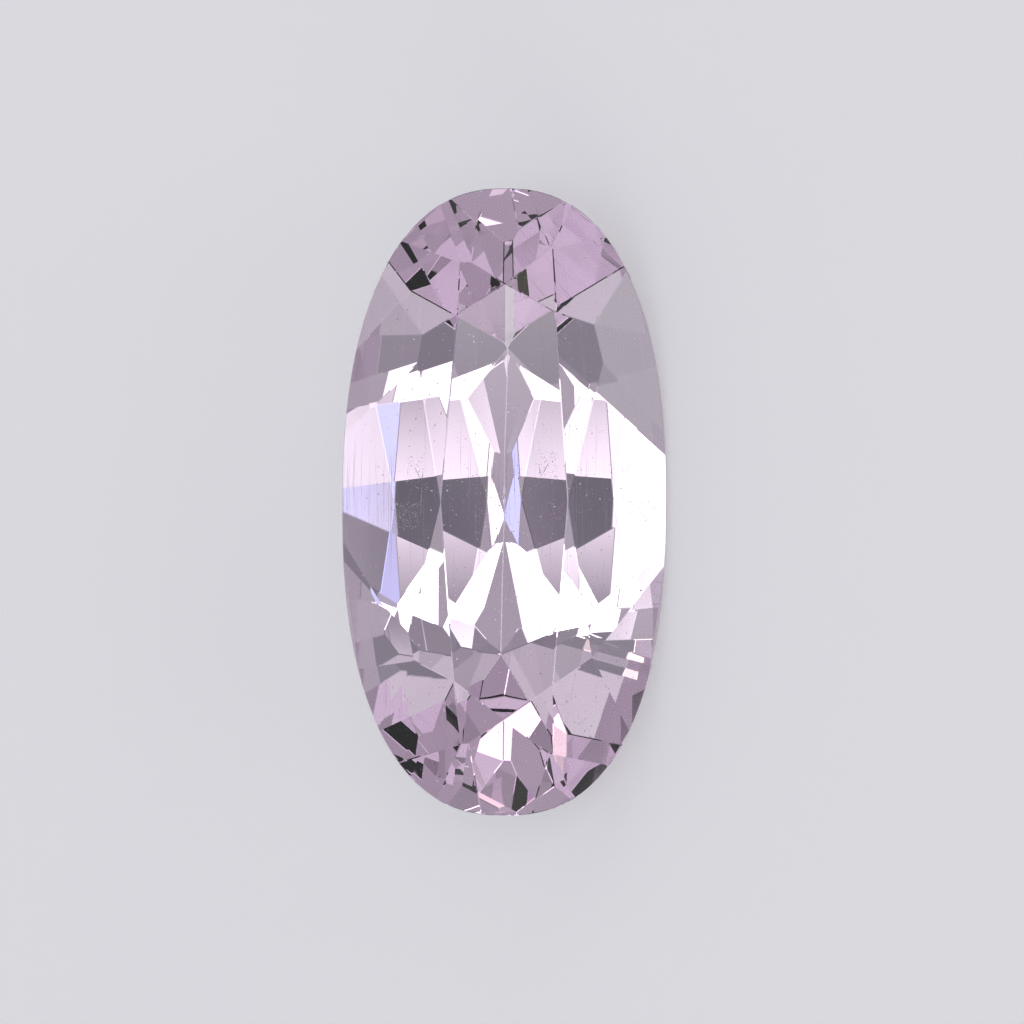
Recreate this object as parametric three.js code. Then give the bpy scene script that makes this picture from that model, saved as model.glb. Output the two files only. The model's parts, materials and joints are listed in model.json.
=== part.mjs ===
// A cut kunzite: an oval brilliant with a long keel, lying on one of its long lower facets.
//
// The stone is worked out as it is cut. Each facet is one flat lap that takes away everything on its
// far side, so the finished gem is what all of the half-spaces have in common. A facet is set by its
// azimuth, its angle and what it has to meet: the girdle, the table, the keel or its neighbours.
//
// While it is cut, the stone has +X across its width, +Y along its length and +Z out of the table,
// with z = 0 at the girdle's upper rim. Azimuths are in degrees from +Y, clockwise seen from the table.
import * as THREE from 'three';

// Driving dimensions, in millimetres.
const LENGTH = 12.0;
const WIDTH = 6.2;
const TABLE_LENGTH = 8.26;
const TABLE_WIDTH = 2.42;
const TABLE_HEIGHT = 1.14;
const GIRDLE_THICKNESS = 0.17;
const PAVILION_DEPTH = 2.8;

// The outline is a superellipse. Its fullness, the exponent, differs a little between the shoulders.
const FULLNESS = { northEast: 2.36, southEast: 2.46, southWest: 2.38, northWest: 2.34 };
const GIRDLE_FACETS = 96;

// Corners of the table beside its two ends and two sides, as [across, along].
const DIAGONAL_CORNERS = {
  northEast: [0.95, 3.6],
  southEast: [0.94, -3.47],
  southWest: [-0.94, -3.4],
  northWest: [-0.9, 3.56],
};

// Where two crown mains and their star meet, as [across, along].
const STAR_TIPS = [
  [0.88, 4.82],
  [1.69, 3.37],
  [1.69, -2.96],
  [0.96, -4.79],
  [-0.8, -4.6],
  [-1.71, -3.02],
  [-1.56, 3.16],
  [-0.86, 4.55],
];

const CROWN_MAIN_AZIMUTHS = [-1.5, 58, 89.3, 119, 178.5, 241, 270.5, 299];
const UPPER_GIRDLE_AZIMUTHS = [
  [16, 46],
  [68, 83],
  [97, 112],
  [134, 164],
  [196, 226],
  [248, 263],
  [277, 292],
  [314, 344],
];

// The keel's corners, as [across, along]. It is level between its bends and rises a little beyond them.
const KEEL = {
  northEnd: [0.05, 2.98],
  northBend: [0.02, 0.89],
  southBend: [-0.02, -0.87],
  southEnd: [-0.05, -2.95],
};

// The pavilion mains, as azimuth and angle from the girdle's plane. The first six meet in the keel,
// each pair at one of its bends, and the last six close its ends.
const KEEL_MAINS = [
  { azimuth: 91, angle: 39.9, at: 'northBend' },
  { azimuth: 271, angle: 39.9, at: 'northBend' },
  { azimuth: 87, angle: 39.3, at: 'northBend' },
  { azimuth: 275, angle: 39.3, at: 'northBend' },
  { azimuth: 95.5, angle: 39.4, at: 'southBend' },
  { azimuth: 266.5, angle: 39.7, at: 'southBend' },
];
const END_MAINS = [
  { azimuth: 351.5, angle: 34.5, at: 'northEnd' },
  { azimuth: 80, angle: 45.5, at: 'northEnd' },
  { azimuth: 279.5, angle: 43, at: 'northEnd' },
  { azimuth: 180.5, angle: 40, at: 'southEnd' },
  { azimuth: 107.5, angle: 43.5, at: 'southEnd' },
  { azimuth: 258.5, angle: 43.5, at: 'southEnd' },
];

// The facets below the girdle, as azimuth and angle. Each touches the girdle's lower rim. Those near
// 90 and 270 are long: they reach almost to the keel. The stone rests on the first.
const LOWER_GIRDLE = [
  [89, 42],
  [90.5, 42.3],
  [93.5, 43.2],
  [99, 43.6],
  [130, 46],
  [165, 49],
  [188, 46],
  [223, 44.5],
  [260.5, 44],
  [267.5, 43.3],
  [269.5, 42.1],
  [271.5, 42.2],
  [286, 46.5],
  [317, 43],
  [349.5, 46.5],
  [13.5, 48.5],
  [44.5, 44.5],
];

// Corners closer than this are one meet point.
const MEET_TOLERANCE = 0.003;
// Half the side of the flat sheet that a facet is trimmed from.
const SHEET = 20;

const radians = THREE.MathUtils.degToRad;

function heading(azimuth) {
  return new THREE.Vector2(Math.sin(radians(azimuth)), Math.cos(radians(azimuth)));
}

function fullness(across, along) {
  if (along > 0) {
    return across > 0 ? FULLNESS.northEast : FULLNESS.northWest;
  }
  return across > 0 ? FULLNESS.southEast : FULLNESS.southWest;
}

// Distance from the centre to the line that touches the outline on the side an azimuth points to.
function reach(azimuth) {
  const way = heading(azimuth);
  const exponent = fullness(way.x, way.y);
  const dual = exponent / (exponent - 1);
  const sum = Math.abs((WIDTH / 2) * way.x) ** dual + Math.abs((LENGTH / 2) * way.y) ** dual;
  return sum ** (1 / dual);
}

// A facet is a plane whose normal points out of the stone.
function facet(azimuth, angle, side, point) {
  const way = heading(azimuth);
  const lean = radians(angle);
  const normal = new THREE.Vector3(way.x * Math.sin(lean), way.y * Math.sin(lean), side * Math.cos(lean));
  return new THREE.Plane().setFromNormalAndCoplanarPoint(normal, point);
}

function rimPoint(azimuth, height) {
  const way = heading(azimuth).multiplyScalar(reach(azimuth));
  return new THREE.Vector3(way.x, way.y, height);
}

// The crown facet of one azimuth that touches the girdle's upper rim and passes a point above it.
function crownFacetThrough(azimuth, point) {
  const way = heading(azimuth);
  const inset = reach(azimuth) - (point.x * way.x + point.y * way.y);
  const angle = THREE.MathUtils.radToDeg(Math.atan2(point.z, inset));
  return facet(azimuth, angle, 1, rimPoint(azimuth, 0));
}

function heightOn(plane, across, along) {
  const { normal, constant } = plane;
  return -(constant + normal.x * across + normal.y * along) / normal.z;
}

function tableCorners() {
  const flat = [
    [0, TABLE_LENGTH / 2],
    DIAGONAL_CORNERS.northEast,
    [TABLE_WIDTH / 2, 0],
    DIAGONAL_CORNERS.southEast,
    [0, -TABLE_LENGTH / 2],
    DIAGONAL_CORNERS.southWest,
    [-TABLE_WIDTH / 2, 0],
    DIAGONAL_CORNERS.northWest,
  ];
  return flat.map(([across, along]) => new THREE.Vector3(across, along, TABLE_HEIGHT));
}

// The table, eight crown mains, eight stars and sixteen upper girdle facets.
function crownFacets() {
  const corners = tableCorners();
  const table = new THREE.Plane(new THREE.Vector3(0, 0, 1), -TABLE_HEIGHT);
  const mains = corners.map((corner, i) => crownFacetThrough(CROWN_MAIN_AZIMUTHS[i], corner));
  const facets = [table, ...mains];
  STAR_TIPS.forEach(([across, along], i) => {
    const next = (i + 1) % mains.length;
    const height = Math.min(heightOn(mains[i], across, along), heightOn(mains[next], across, along));
    const tip = new THREE.Vector3(across, along, height);
    const star = new THREE.Plane().setFromCoplanarPoints(tip, corners[next], corners[i]);
    facets.push(star.normal.z > 0 ? star : star.negate());
    UPPER_GIRDLE_AZIMUTHS[i].forEach((azimuth) => facets.push(crownFacetThrough(azimuth, tip)));
  });
  return facets;
}

// Upright flats, spaced evenly along the outline's own angle.
function girdleFacets() {
  return Array.from({ length: GIRDLE_FACETS }, (_, i) => {
    const turn = (2 * Math.PI * i) / GIRDLE_FACETS;
    const power = 2 - 2 / fullness(Math.sin(turn), Math.cos(turn));
    const across = (Math.sign(Math.sin(turn)) * Math.abs(Math.sin(turn)) ** power) / (WIDTH / 2);
    const along = (Math.sign(Math.cos(turn)) * Math.abs(Math.cos(turn)) ** power) / (LENGTH / 2);
    const azimuth = THREE.MathUtils.radToDeg(Math.atan2(across, along));
    return facet(azimuth, 90, 1, rimPoint(azimuth, 0));
  });
}

function mainsThrough(list, heightAt) {
  return list.map(({ azimuth, angle, at }) => {
    const [across, along] = KEEL[at];
    return facet(azimuth, angle, -1, new THREE.Vector3(across, along, heightAt(across, along)));
  });
}

// The mains of the keel, then the mains of its ends, which start where the rising keel has got to.
function pavilionMains() {
  const keelMains = mainsThrough(KEEL_MAINS, () => -GIRDLE_THICKNESS - PAVILION_DEPTH);
  const keelHeight = (across, along) => Math.max(...keelMains.map((main) => heightOn(main, across, along)));
  return [...keelMains, ...mainsThrough(END_MAINS, keelHeight)];
}

function lowerGirdleFacets() {
  return LOWER_GIRDLE.map(([azimuth, angle]) => {
    return facet(azimuth, angle, -1, rimPoint(azimuth, -GIRDLE_THICKNESS));
  });
}

// What is left of a flat polygon inside a half-space.
function trim(polygon, plane) {
  const kept = [];
  polygon.forEach((here, i) => {
    const next = polygon[(i + 1) % polygon.length];
    const hereDepth = plane.distanceToPoint(here);
    const nextDepth = plane.distanceToPoint(next);
    if (hereDepth <= 0) {
      kept.push(here);
    }
    if (hereDepth * nextDepth < 0) {
      kept.push(here.clone().lerp(next, hereDepth / (hereDepth - nextDepth)));
    }
  });
  return kept;
}

// A large square sheet in the facet's plane, counter-clockwise seen from outside.
function sheetOn(plane) {
  const turn = new THREE.Quaternion().setFromUnitVectors(new THREE.Vector3(0, 0, 1), plane.normal);
  const middle = plane.normal.clone().multiplyScalar(-plane.constant);
  const square = [[-1, -1], [1, -1], [1, 1], [-1, 1]];
  return square.map(([u, v]) => {
    return new THREE.Vector3(u * SHEET, v * SHEET, 0).applyQuaternion(turn).add(middle);
  });
}

// Cuts the stone: trims each facet by all of the others, and joins the corners that meet.
function cutStone(planes) {
  const corners = [];
  const cornerNear = (point) => {
    let index = corners.findIndex((corner) => corner.distanceTo(point) < MEET_TOLERANCE);
    if (index < 0) {
      index = corners.push(point) - 1;
    }
    return index;
  };
  const polygons = planes.map((plane) => {
    const others = planes.filter((other) => other !== plane);
    const ring = others.reduce(trim, sheetOn(plane)).map(cornerNear);
    return ring.filter((corner, i) => corner !== ring[(i + 1) % ring.length]);
  });
  return { corners, polygons: polygons.filter((ring) => ring.length > 2) };
}

// Each facet is a fan of flat triangles around its middle.
function stoneGeometry({ corners, polygons }) {
  const triangles = [];
  polygons.forEach((ring) => {
    const middle = new THREE.Vector3();
    ring.forEach((corner) => middle.addScaledVector(corners[corner], 1 / ring.length));
    ring.forEach((corner, i) => {
      triangles.push(corners[corner], corners[ring[(i + 1) % ring.length]], middle);
    });
  });
  const geometry = new THREE.BufferGeometry().setFromPoints(triangles);
  geometry.computeVertexNormals();
  return geometry;
}

// Lays the stone down: +Y turns to +X, and the resting facet comes to face the ground.
function layDown(geometry, resting) {
  const lengthwise = new THREE.Matrix4().makeBasis(
    new THREE.Vector3(0, -1, 0),
    new THREE.Vector3(1, 0, 0),
    new THREE.Vector3(0, 0, 1),
  );
  const facing = resting.normal.clone().transformDirection(lengthwise);
  const onToFacet = new THREE.Quaternion().setFromUnitVectors(facing, new THREE.Vector3(0, 0, -1));
  geometry.applyMatrix4(lengthwise);
  geometry.applyQuaternion(onToFacet);
  geometry.computeBoundingBox();
  const { min, max } = geometry.boundingBox;
  geometry.translate(-(min.x + max.x) / 2, -(min.y + max.y) / 2, -min.z);
  return geometry;
}

function buildGem() {
  const lowerGirdle = lowerGirdleFacets();
  const planes = [...crownFacets(), ...girdleFacets(), ...pavilionMains(), ...lowerGirdle];
  const geometry = layDown(stoneGeometry(cutStone(planes)), lowerGirdle[0]);
  const material = new THREE.MeshStandardMaterial({ color: '#d3bcd0', roughness: 0.03, metalness: 0 });
  const gem = new THREE.Mesh(geometry, material);
  gem.name = 'kunzite_gem';
  return gem;
}

const part = new THREE.Group();
part.add(buildGem());

export default part;
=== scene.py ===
import json
import math

import bmesh
import bpy
import numpy as np
from mathutils import Matrix, Vector


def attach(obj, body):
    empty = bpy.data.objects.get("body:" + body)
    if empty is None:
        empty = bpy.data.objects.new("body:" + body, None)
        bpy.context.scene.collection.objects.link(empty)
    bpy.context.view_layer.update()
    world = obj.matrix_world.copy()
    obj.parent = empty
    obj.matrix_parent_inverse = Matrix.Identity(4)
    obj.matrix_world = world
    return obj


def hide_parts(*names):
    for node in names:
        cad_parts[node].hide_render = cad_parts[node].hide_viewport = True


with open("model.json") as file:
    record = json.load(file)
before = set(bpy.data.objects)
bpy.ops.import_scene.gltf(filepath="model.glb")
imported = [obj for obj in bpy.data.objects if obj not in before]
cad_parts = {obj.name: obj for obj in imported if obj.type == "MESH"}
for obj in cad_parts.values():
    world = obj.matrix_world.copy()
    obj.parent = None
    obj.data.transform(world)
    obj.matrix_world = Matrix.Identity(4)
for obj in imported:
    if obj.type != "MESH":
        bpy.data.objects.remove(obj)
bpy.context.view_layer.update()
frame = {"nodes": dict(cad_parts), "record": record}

MM = 0.001
SCENE = bpy.context.scene

# About how wide the flats are that handling wears along the facet edges.
EDGE_WEAR = 0.024 * MM
# Corners closer than this are one corner.
JOIN_WITHIN = 0.0005 * MM
# Triangles of one facet turn by less than this, in radians.
FLAT_WITHIN = 0.004
# A face is on the girdle if its normal leans less than this, as a sine, out of the girdle's plane.
UPRIGHT = 0.02

# The girdle's finish: finely ground and not polished.
GROUND_ROUGHNESS = 0.25

# A grain's three half axes are between these shares of its half size. Half sizes are drawn as a share
# between the smallest and the largest, raised to this power, so that most grains are small.
GRAIN_AXES = (0.6, 1.2)
SIZE_POWER = 2
# Pinpoint crystals in the stone: how many, how many are drawn, since some fall outside the stone, how
# far they spread across, along and in depth, how deep their middle is, how far inside the facets they
# stay, and their smallest and largest half sizes.
PINPOINTS = 130
PINPOINT_DRAWS = 3 * PINPOINTS
PINPOINT_SPREAD = (0.9 * MM, 2.6 * MM, 0.7 * MM)
PINPOINT_DEPTH = 0.4 * MM
PINPOINT_MARGIN = 0.05 * MM
PINPOINT_SIZE = (0.005 * MM, 0.015 * MM)
# Healed fractures under the west crown main: veils of droplets, each with its middle, its half width
# and half length in the table's plane, all in the stone's own axes, and how many droplets it has.
VEILS = [
    ((-1.58 * MM, 0.48 * MM, 0.3 * MM), (0.2 * MM, 0.42 * MM), 150),
    ((-1.78 * MM, -0.3 * MM, 0.25 * MM), (0.26 * MM, 0.24 * MM), 260),
]
# The droplets' smallest and largest half sizes, how much a veil is dished, and the wisps in it: how far
# they bend, as shares of the veil's half width and half length, and how tight their waves are.
DROP_SIZE = (0.005 * MM, 0.014 * MM)
VEIL_DISH = 0.1 * MM
WISP_BEND = (0.12, 0.1)
WISP_WAVES = (7, 5, 11)
# Fine cracks beside them, from end to end in millimetres across and along, all at one depth.
CRACKS = [
    ((-1.62, 0.68), (-1.44, 0.34)),
    ((-1.41, 0.62), (-1.44, 0.34)),
    ((-1.44, 0.34), (-1.47, -0.36)),
    ((-1.95, -0.36), (-1.7, -0.12)),
    ((-1.7, -0.12), (-1.46, -0.02)),
]
CRACK_DEPTH = 0.35
CRACK_THICKNESS = 0.007 * MM
# Hollow growth tubes along the crystal's length: where each bundle's middle is and how far it
# spreads, in the stone's own axes, and how many tubes it has.
TUBE_BUNDLES = [
    ((-0.3 * MM, 0.1 * MM, -0.9 * MM), (0.16 * MM, 0.5 * MM, 0.4 * MM), 26),
    ((-2.0 * MM, 0.1 * MM, -0.3 * MM), (0.07 * MM, 0.4 * MM, 0.08 * MM), 14),
    ((0.2 * MM, 0.0 * MM, -0.6 * MM), (0.9 * MM, 1.3 * MM, 0.5 * MM), 14),
]
# How far a tube's middle and its ends stay inside the facets, how far it leans, in radians, and the
# least and the most that a tube is thick and long, both as halves.
TUBE_MARGIN = 0.1 * MM
TUBE_END_MARGIN = 0.03 * MM
TUBE_LEAN = 0.015
TUBE_THICKNESS = (0.0012 * MM, 0.003 * MM)
TUBE_HALF_LENGTH = (0.2 * MM, 0.9 * MM)
# Dust on the crown: how many specks, how many are drawn, since some fall too low on it, how far they
# spread across and along, their half sizes, and how far over the girdle's upper edge they have to lie.
DUST_SPECKS = 400
DUST_DRAWS = 2 * DUST_SPECKS
DUST_SPREAD = (1.1 * MM, 2.4 * MM)
DUST_SIZE = (0.007 * MM, 0.02 * MM)
DUST_LOWEST = 0.2 * MM

# The room's own grey. Its soft lights and its black cards are round, with soft rims. Each has its
# place as seen from the stone, square on to the table: right and up, as sines. Then come the angles
# in degrees from its middle where it starts to fade and where it ends, its colour and its strength.
# A card has no colour, and its strength is taken off the room's light.
ROOM_COLOUR = "#b0b1b4"
ROOM_LIGHTS = [
    # The window over the camera's shoulder, and its echo below: the white slivers beside the keel.
    ((0.0, 0.2), (8, 12), "#ffffff", 2.5),
    ((0.0, -0.2), (6, 10), "#ffffff", 1.5),
    # A lamp on each side: the long flanks.
    ((0.5, -0.05), (6, 14), "#ffffff", 2.0),
    ((-0.5, -0.15), (3, 9), "#ffffff", 0.8),
    # A patch of sky beside the left lamp.
    ((-0.4, 0.0), (3, 8), "#a2b9ff", 1.2),
    # A dim glow past each end of the stone, and a warm lamp low on the right.
    ((0.0, -0.9), (10, 30), "#ffffff", 0.4),
    ((0.0, 0.9), (10, 30), "#ffffff", 0.3),
    ((0.5, 0.5), (8, 15), "#fff4e0", 1.5),
]
BLACK_CARDS = [
    # The camera's dark front.
    ((0.0, 0.0), (1, 4), 0.3),
    # Over each end of the keel: the dark bands across the stone.
    ((0.0, -0.55), (6, 18), 0.2),
    ((0.0, 0.55), (8, 20), 0.2),
    # On the left: the lower half of that flank.
    ((-0.6, 0.05), (3, 8), 0.25),
]
# Even behind a card the room gives this much light.
DARKEST = 0.1

# How the gem is framed: how high the view is at the girdle, how far the middle of the table lies from
# the middle of the view, right and up, and how high the table is over the girdle's upper edge.
VIEW_HEIGHT = 19.6 * MM
TABLE_OFFSET = (-0.14 * MM, 0.22 * MM)
TABLE_HEIGHT = 1.14 * MM
LENS = 200.0
SENSOR = 36.0
CLIP_START = 1 * MM

FLOOR_HALF = 400 * MM
FLOOR_GAP = 0.02 * MM
# The paper is lit from below too, as on a light table.
FLOOR_GLOW = 0.22


def linear(hex_colour):
    """An sRGB hex colour as linear red, green, blue and an alpha of one."""
    channels = [int(hex_colour[i : i + 2], 16) / 255 for i in (1, 3, 5)]
    curve = [c / 12.92 if c <= 0.04045 else ((c + 0.055) / 1.055) ** 2.4 for c in channels]
    return (*curve, 1.0)


def add_node(tree, kind, inputs=None, **settings):
    """Adds one shader node, with its settings, and with its inputs set to values or linked to sockets."""
    node = tree.nodes.new(kind)
    for name, value in settings.items():
        setattr(node, name, value)
    for name, value in (inputs or {}).items():
        if isinstance(value, bpy.types.NodeSocket):
            tree.links.new(value, node.inputs[name])
        else:
            node.inputs[name].default_value = value
    return node


def new_material(name):
    material = bpy.data.materials.new(name)
    material.use_nodes = True
    material.node_tree.nodes.clear()
    return material, material.node_tree


def polished_kunzite():
    """Spodumene, polished: clear, index 1.67, with the pale lilac that manganese gives it.

    The girdle is left as the wheel ground it, which is a fine matt.
    """
    material, tree = new_material("polished_kunzite")
    girdle = add_node(tree, "ShaderNodeAttribute", attribute_name="ground")
    roughness = add_node(tree, "ShaderNodeMapRange", {
        "Value": girdle.outputs["Fac"],
        "To Min": 0.0,
        "To Max": GROUND_ROUGHNESS,
    })
    body = add_node(tree, "ShaderNodeBsdfPrincipled", {
        "Base Color": (1.0, 1.0, 1.0, 1.0),
        "Roughness": roughness.outputs[0],
        "IOR": 1.67,
        "Transmission Weight": 1.0,
    })
    colour = add_node(tree, "ShaderNodeVolumeAbsorption", {
        "Color": linear("#ebb0e7"),
        "Density": 60.0,
    })
    add_node(tree, "ShaderNodeOutputMaterial", {"Surface": body.outputs[0], "Volume": colour.outputs[0]})
    return material


def white_crystal():
    """Albite and clay in pinpoints: opaque, white, so that each one catches the light."""
    material, tree = new_material("white_crystal")
    body = add_node(tree, "ShaderNodeBsdfPrincipled", {
        "Base Color": linear("#fbf9fb"),
        "Roughness": 0.5,
        "IOR": 1.53,
    })
    add_node(tree, "ShaderNodeOutputMaterial", {"Surface": body.outputs[0]})
    return material


def etched_tube():
    """Walls of hollow growth tubes, and of fine cracks: matt and pale, so they show as fine streaks."""
    material, tree = new_material("etched_tube")
    body = add_node(tree, "ShaderNodeBsdfPrincipled", {
        "Base Color": linear("#e9e4f2"),
        "Roughness": 0.7,
        "IOR": 1.4,
    })
    add_node(tree, "ShaderNodeOutputMaterial", {"Surface": body.outputs[0]})
    return material


def lint_dust():
    """Fine white lint and dust that a polished stone picks up from the air."""
    material, tree = new_material("lint_dust")
    body = add_node(tree, "ShaderNodeBsdfPrincipled", {
        "Base Color": linear("#fbfafa"),
        "Roughness": 0.9,
        "IOR": 1.5,
    })
    add_node(tree, "ShaderNodeOutputMaterial", {"Surface": body.outputs[0]})
    return material


def studio_paper():
    """Matt pale grey seamless paper over a light table's dim glow."""
    material, tree = new_material("studio_paper")
    surface = add_node(tree, "ShaderNodeBsdfPrincipled", {
        "Base Color": linear("#ecebee"),
        "Roughness": 0.9,
        "Emission Color": linear("#fbfaff"),
        "Emission Strength": FLOOR_GLOW,
    })
    add_node(tree, "ShaderNodeOutputMaterial", {"Surface": surface.outputs[0]})
    return material


def joined_facets(cad):
    """A copy of the cut stone with its loose triangles joined, so that each facet is one flat face."""
    stone = bmesh.new()
    stone.from_mesh(cad.data)
    bmesh.ops.remove_doubles(stone, verts=stone.verts, dist=JOIN_WITHIN)
    bmesh.ops.dissolve_limit(stone, angle_limit=FLAT_WITHIN, verts=stone.verts, edges=stone.edges)
    stone.normal_update()
    return stone


def inset_ring(ring, normal, width):
    """What is left of a flat convex polygon at least the width inside each of its own edges.

    Each edge cuts the polygon by the line that runs the width inside it, so an edge too short to
    keep any of its length drops out and its neighbours meet.
    """
    kept = ring
    for start, end in zip(ring, np.roll(ring, -1, axis=0)):
        inward = np.cross(normal, end - start)
        inward /= np.linalg.norm(inward)
        depth = (kept - start) @ inward - width
        after = np.roll(kept, -1, axis=0)
        depth_after = np.roll(depth, -1)
        crosses = depth * depth_after < 0
        share = np.divide(depth, depth - depth_after, out=np.zeros_like(depth), where=crosses)
        pairs = np.stack([kept, kept + (after - kept) * share[:, None]], axis=1).reshape(-1, 3)
        kept = pairs[np.stack([depth >= 0, crosses], axis=1).ravel()]
    return kept


def worn_mesh(stone):
    """The cut stone as the hull of its facets, after each has lost half the wear along its edges.

    It is worked out in millimetres, since the hull's own tolerance is coarse for a stone in metres.
    """
    rings = [np.array([corner.co for corner in face.verts]) / MM for face in stone.faces]
    normals = [np.array(face.normal) for face in stone.faces]
    inset = EDGE_WEAR / 2 / MM
    corners = np.concatenate([inset_ring(ring, normal, inset) for ring, normal in zip(rings, normals)])
    mesh = bpy.data.meshes.new("polished_gem")
    mesh.from_pydata(corners.tolist(), [], [])
    worn = bmesh.new()
    worn.from_mesh(mesh)
    bmesh.ops.convex_hull(worn, input=worn.verts)
    bmesh.ops.delete(worn, geom=[v for v in worn.verts if not v.link_faces], context="VERTS")
    bmesh.ops.dissolve_limit(worn, angle_limit=FLAT_WITHIN, verts=worn.verts, edges=worn.edges)
    bmesh.ops.scale(worn, vec=(MM, MM, MM), verts=worn.verts)
    bmesh.ops.recalc_face_normals(worn, faces=worn.faces)
    worn.to_mesh(mesh)
    worn.free()
    return mesh


def mark_girdle(mesh):
    """Gives the faces of the girdle the value 1 in the attribute ground, and all others 0."""
    normals = np.empty(3 * len(mesh.polygons), dtype=np.float32)
    mesh.polygons.foreach_get("normal", normals)
    out_of_table = np.array(table_axes()[3])
    upright = np.abs(normals.reshape(-1, 3) @ out_of_table) < UPRIGHT
    ground = mesh.attributes.new("ground", "FLOAT", "FACE")
    ground.data.foreach_set("value", upright.astype(np.float32))


def make_gem():
    """The cut stone with its worn edges and its ground girdle."""
    stone = joined_facets(frame["nodes"]["kunzite_gem"])
    mesh = worn_mesh(stone)
    stone.free()
    mark_girdle(mesh)
    mesh.materials.append(polished_kunzite())
    gem = bpy.data.objects.new("polished_gem", mesh)
    SCENE.collection.objects.link(gem)
    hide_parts("kunzite_gem")
    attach(gem, "root")


def table_axes():
    """The middle of the table, and the view's directions: right, up and back to the camera."""
    mount = next(m for m in frame["record"]["mounts"] if m["name"] == "table")
    back = Vector(mount["axis"]).normalized()
    up = Vector((1.0, 0.0, 0.0))
    up = (up - back * up.dot(back)).normalized()
    return Vector(mount["pos_m"]), up.cross(back), up, back


def stone_axes():
    """The stone's own axes as rows (right, up and out of the table), and its origin.

    The origin lies under the middle of the table, in the plane of the girdle's upper edge.
    """
    table, right, up, back = table_axes()
    return np.array([right, up, back]), np.array(table - back * TABLE_HEIGHT)


def stone_planes():
    """The stone's facets in its own axes: outward normals, and the distance of each from the origin."""
    axes, origin = stone_axes()
    mesh = frame["nodes"]["kunzite_gem"].data
    count = len(mesh.polygons)
    normals = np.empty(3 * count)
    middles = np.empty(3 * count)
    mesh.polygons.foreach_get("normal", normals)
    mesh.polygons.foreach_get("center", middles)
    normals = normals.reshape(-1, 3) @ axes.T
    middles = (middles.reshape(-1, 3) - origin) @ axes.T
    return normals, (normals * middles).sum(axis=1)


def inside(points, slack):
    """Which points lie at least the slack inside all of the stone's facets."""
    normals, distances = stone_planes()
    return (points @ normals.T - distances).max(axis=1) < -slack


def on_crown(across, along):
    """The lowest crown facet over each place, as a point on it and its normal.

    A facet with normal n and distance d is over (x, y) at z = (d - nx * x - ny * y) / nz.
    """
    normals, distances = stone_planes()
    crown = normals[:, 2] > UPRIGHT
    normals, distances = normals[crown], distances[crown]
    flat = np.stack([across, along], axis=1)
    heights = (distances - flat @ normals[:, :2].T) / normals[:, 2]
    lowest = heights.argmin(axis=1)
    height = heights[np.arange(len(flat)), lowest]
    return np.concatenate([flat, height[:, None]], axis=1), normals[lowest]


def random_axes(rng, sizes):
    """Three half axes for each size, at right angles, of uneven length and turned at random.

    The turn is the matrix of a random unit quaternion w, x, y, z.
    """
    quaternions = rng.normal(size=(4, len(sizes)))
    w, x, y, z = quaternions / np.linalg.norm(quaternions, axis=0)
    turns = np.stack([
        1 - 2 * (y * y + z * z), 2 * (x * y - w * z), 2 * (x * z + w * y),
        2 * (x * y + w * z), 1 - 2 * (x * x + z * z), 2 * (y * z - w * x),
        2 * (x * z - w * y), 2 * (y * z + w * x), 1 - 2 * (x * x + y * y),
    ], axis=1).reshape(-1, 3, 3)
    lengths = sizes[:, None] * rng.uniform(*GRAIN_AXES, size=(len(sizes), 3))
    return turns * lengths[:, :, None]


def double_pyramids(name, middles, half_axes, material):
    """One mesh of small eight-faced crystals: each has its six tips at its middle plus and minus its axes.

    A face joins one tip of each axis; its turn is reversed where an odd number of the tips is negative.
    """
    tips = np.concatenate([middles[:, None] + half_axes, middles[:, None] - half_axes], axis=1)
    signs = np.array([(a, b, c) for a in (0, 1) for b in (0, 1) for c in (0, 1)])
    faces = signs * 3 + np.arange(3)
    odd = signs.sum(axis=1) % 2 == 1
    faces[odd] = faces[odd][:, ::-1]
    triangles = (faces[None] + 6 * np.arange(len(middles))[:, None, None]).reshape(-1, 3)
    mesh = bpy.data.meshes.new(name)
    axes, origin = stone_axes()
    mesh.from_pydata((origin + tips.reshape(-1, 3) @ axes).tolist(), [], triangles.tolist())
    mesh.materials.append(material)
    crystals = bpy.data.objects.new(name, mesh)
    SCENE.collection.objects.link(crystals)
    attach(crystals, "root")


def make_pinpoints(rng):
    """Tiny crystals throughout the stone, at random, more of them near its middle."""
    middles = rng.normal(size=(PINPOINT_DRAWS, 3)) * PINPOINT_SPREAD - (0, 0, PINPOINT_DEPTH)
    middles = middles[inside(middles, PINPOINT_MARGIN)][:PINPOINTS]
    sizes = PINPOINT_SIZE[0] + np.ptp(PINPOINT_SIZE) * rng.uniform(0, 1, len(middles)) ** SIZE_POWER
    double_pyramids("pinpoint_crystals", middles, random_axes(rng, sizes), white_crystal())


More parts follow.
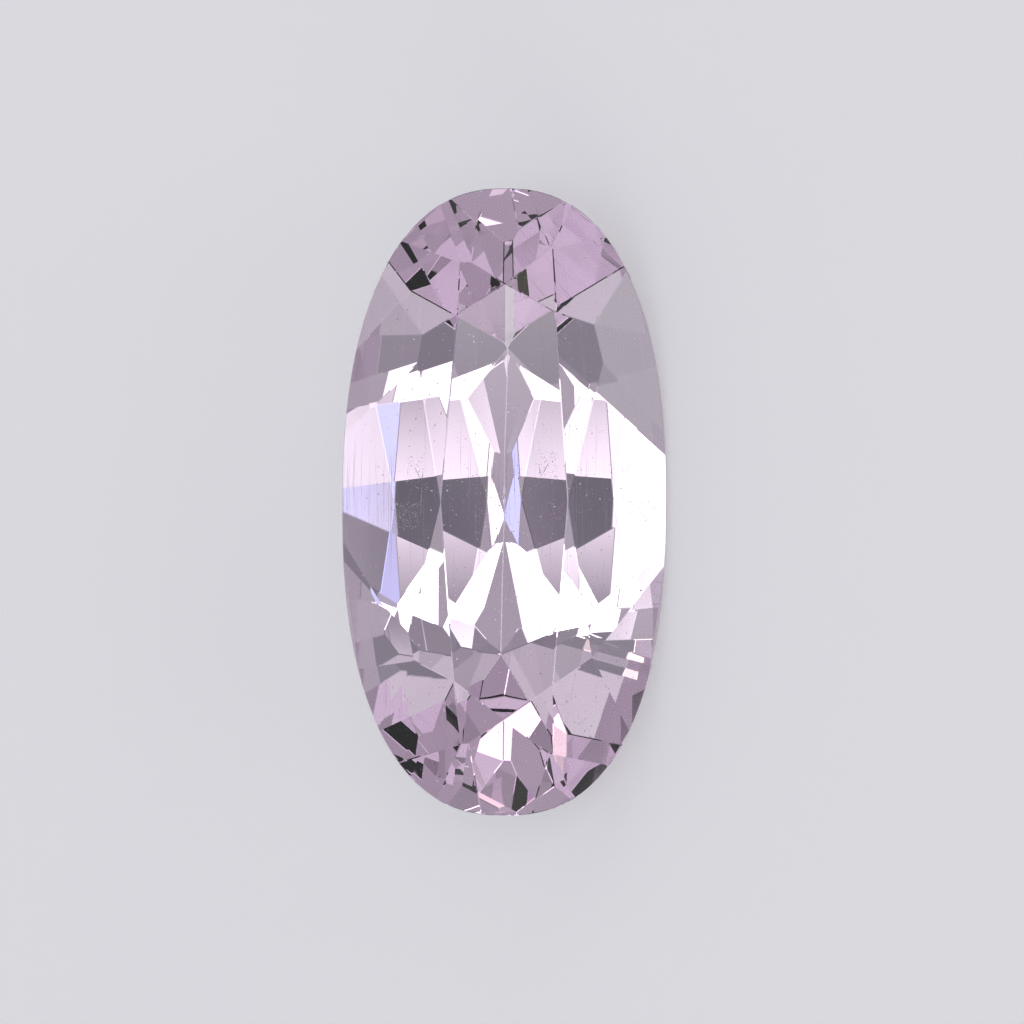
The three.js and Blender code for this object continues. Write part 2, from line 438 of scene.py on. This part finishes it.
def make_veils(rng):
    """Healed fractures: droplets on dished sheets, in wisps that run along them.

    Each droplet starts at u and v, from -1 to 1 across and along its sheet. Sines of both then bend
    them, so that the droplets crowd in curved rows. The sheet lies at its middle's depth plus
    VEIL_DISH * (u + v / 2 + u^2 + v^2).
    """
    places = []
    for middle, (half_across, half_along), drops in VEILS:
        u, v = rng.uniform(-1, 1, (2, drops))
        u = u + WISP_BEND[0] * np.sin(WISP_WAVES[0] * v + WISP_WAVES[1] * u)
        v = v + WISP_BEND[1] * np.sin(WISP_WAVES[2] * u)
        dish = VEIL_DISH * (u + v / 2 + u * u + v * v)
        places.append(np.array(middle) + np.stack([u * half_across, v * half_along, dish], axis=1))
    places = np.concatenate(places)
    sizes = DROP_SIZE[0] + np.ptp(DROP_SIZE) * rng.uniform(0, 1, len(places)) ** SIZE_POWER
    double_pyramids("veil_droplets", places, random_axes(rng, sizes), white_crystal())


def needles(starts, ends, thickness):
    """The middles of long thin crystals and their three half axes: across, along and in depth."""
    reach = (ends - starts) / 2
    flat = np.stack([-reach[:, 1], reach[:, 0], np.zeros(len(reach))], axis=1)
    flat *= (thickness / np.linalg.norm(flat, axis=1))[:, None]
    deep = np.cross(flat, reach)
    deep *= (thickness / np.linalg.norm(deep, axis=1))[:, None]
    return (starts + ends) / 2, np.stack([flat, reach, deep], axis=1)


def make_cracks():
    """Fine cracks, each a thin straight splinter from one end to the other."""
    ends = np.array([[(*spot, CRACK_DEPTH) for spot in crack] for crack in CRACKS]) * MM
    thickness = np.full(len(ends), CRACK_THICKNESS)
    double_pyramids("fine_cracks", *needles(ends[:, 0], ends[:, 1], thickness), etched_tube())


def make_tubes(rng):
    """Growth tubes: long thin needles along the stone, parallel within a degree or two."""
    middles = np.concatenate([
        np.array(middle) + rng.normal(size=(count, 3)) * spread for middle, spread, count in TUBE_BUNDLES
    ])
    middles = middles[inside(middles, TUBE_MARGIN)]
    half_length = rng.uniform(*TUBE_HALF_LENGTH, size=len(middles))
    lean = rng.normal(size=(len(middles), 2)) * TUBE_LEAN
    reach = np.stack([lean[:, 0], np.ones(len(middles)), lean[:, 1]], axis=1) * half_length[:, None]
    kept = inside(middles - reach, TUBE_END_MARGIN) & inside(middles + reach, TUBE_END_MARGIN)
    thickness = rng.uniform(*TUBE_THICKNESS, size=len(middles))
    tubes = needles((middles - reach)[kept], (middles + reach)[kept], thickness[kept])
    double_pyramids("growth_tubes", *tubes, etched_tube())


def make_dust(rng):
    """Dust on the crown: specks that lie on the facets, most of them on the table."""
    across = rng.normal(size=DUST_DRAWS) * DUST_SPREAD[0]
    along = rng.normal(size=DUST_DRAWS) * DUST_SPREAD[1]
    spots, normals = on_crown(across, along)
    kept = spots[:, 2] > DUST_LOWEST
    spots, normals = spots[kept][:DUST_SPECKS], normals[kept][:DUST_SPECKS]
    sizes = DUST_SIZE[0] + np.ptp(DUST_SIZE) * rng.uniform(0, 1, len(spots)) ** SIZE_POWER
    middles = spots + normals * sizes[:, None] / 2
    double_pyramids("crown_dust", middles, random_axes(rng, sizes), lint_dust())


def make_camera():
    """A camera square on to the table, with the stone's length upright in its view."""
    table, right, up, back = table_axes()
    centre = table - back * TABLE_HEIGHT
    aim = centre - right * TABLE_OFFSET[0] - up * TABLE_OFFSET[1]
    camera = bpy.data.cameras.new("camera")
    camera.lens = LENS
    camera.sensor_width = SENSOR
    camera.clip_start = CLIP_START
    holder = bpy.data.objects.new("camera", camera)
    turn = Matrix((right, up, back)).transposed().to_4x4()
    distance = LENS / SENSOR * VIEW_HEIGHT
    holder.matrix_world = Matrix.Translation(aim + back * distance) @ turn
    SCENE.collection.objects.link(holder)
    SCENE.camera = holder


def make_floor():
    """A square sheet of paper, a hair below the stone."""
    signs = [(-1, -1), (1, -1), (1, 1), (-1, 1)]
    corners = [(x * FLOOR_HALF, y * FLOOR_HALF, -FLOOR_GAP) for x, y in signs]
    mesh = bpy.data.meshes.new("floor")
    mesh.from_pydata(corners, [], [(0, 1, 2, 3)])
    floor = bpy.data.objects.new("floor", mesh)
    mesh.materials.append(studio_paper())
    SCENE.collection.objects.link(floor)


def round_patch(tree, look, place, edges, colour, strength):
    """A round patch of the room, in its colour: full inside the first angle, gone at the second.

    What the place's two sines leave of the direction points towards the camera.
    """
    right, up, back = table_axes()[1:]
    depth = math.sqrt(1 - place[0] ** 2 - place[1] ** 2)
    toward = right * place[0] + up * place[1] + back * depth
    facing = add_node(tree, "ShaderNodeVectorMath", {0: look, 1: toward}, operation="DOT_PRODUCT")
    inner, outer = (math.cos(math.radians(angle)) for angle in edges)
    share = add_node(tree, "ShaderNodeMapRange", {
        "Value": facing.outputs["Value"],
        "From Min": outer,
        "From Max": inner,
        "To Min": 0.0,
        "To Max": strength,
    }, interpolation_type="SMOOTHSTEP")
    tint = add_node(tree, "ShaderNodeVectorMath", {
        0: linear(colour)[:3], "Scale": share.outputs[0],
    }, operation="SCALE")
    return tint.outputs[0]


def make_world():
    """A grey room with soft lights and black cards, placed by their lean from the table's own axes."""
    world = bpy.data.worlds.new("studio")
    world.use_nodes = True
    tree = world.node_tree
    tree.nodes.clear()
    look = add_node(tree, "ShaderNodeTexCoord").outputs["Generated"]
    cards = [(place, edges, "#ffffff", -strength) for place, edges, strength in BLACK_CARDS]
    total = linear(ROOM_COLOUR)[:3]
    for patch in ROOM_LIGHTS + cards:
        glow = round_patch(tree, look, *patch)
        total = add_node(tree, "ShaderNodeVectorMath", {0: total, 1: glow}, operation="ADD").outputs[0]
    total = add_node(tree, "ShaderNodeVectorMath", {0: total, 1: [DARKEST] * 3}, operation="MAXIMUM")
    sky = add_node(tree, "ShaderNodeBackground", {"Color": total.outputs[0]})
    add_node(tree, "ShaderNodeOutputWorld", {"Surface": sky.outputs[0]})
    SCENE.world = world


make_gem()
inclusions = np.random.default_rng(7)
make_pinpoints(inclusions)
make_veils(inclusions)
make_cracks()
make_tubes(inclusions)
make_dust(inclusions)
make_camera()
make_floor()
make_world()
SCENE.view_settings.view_transform = "Standard"
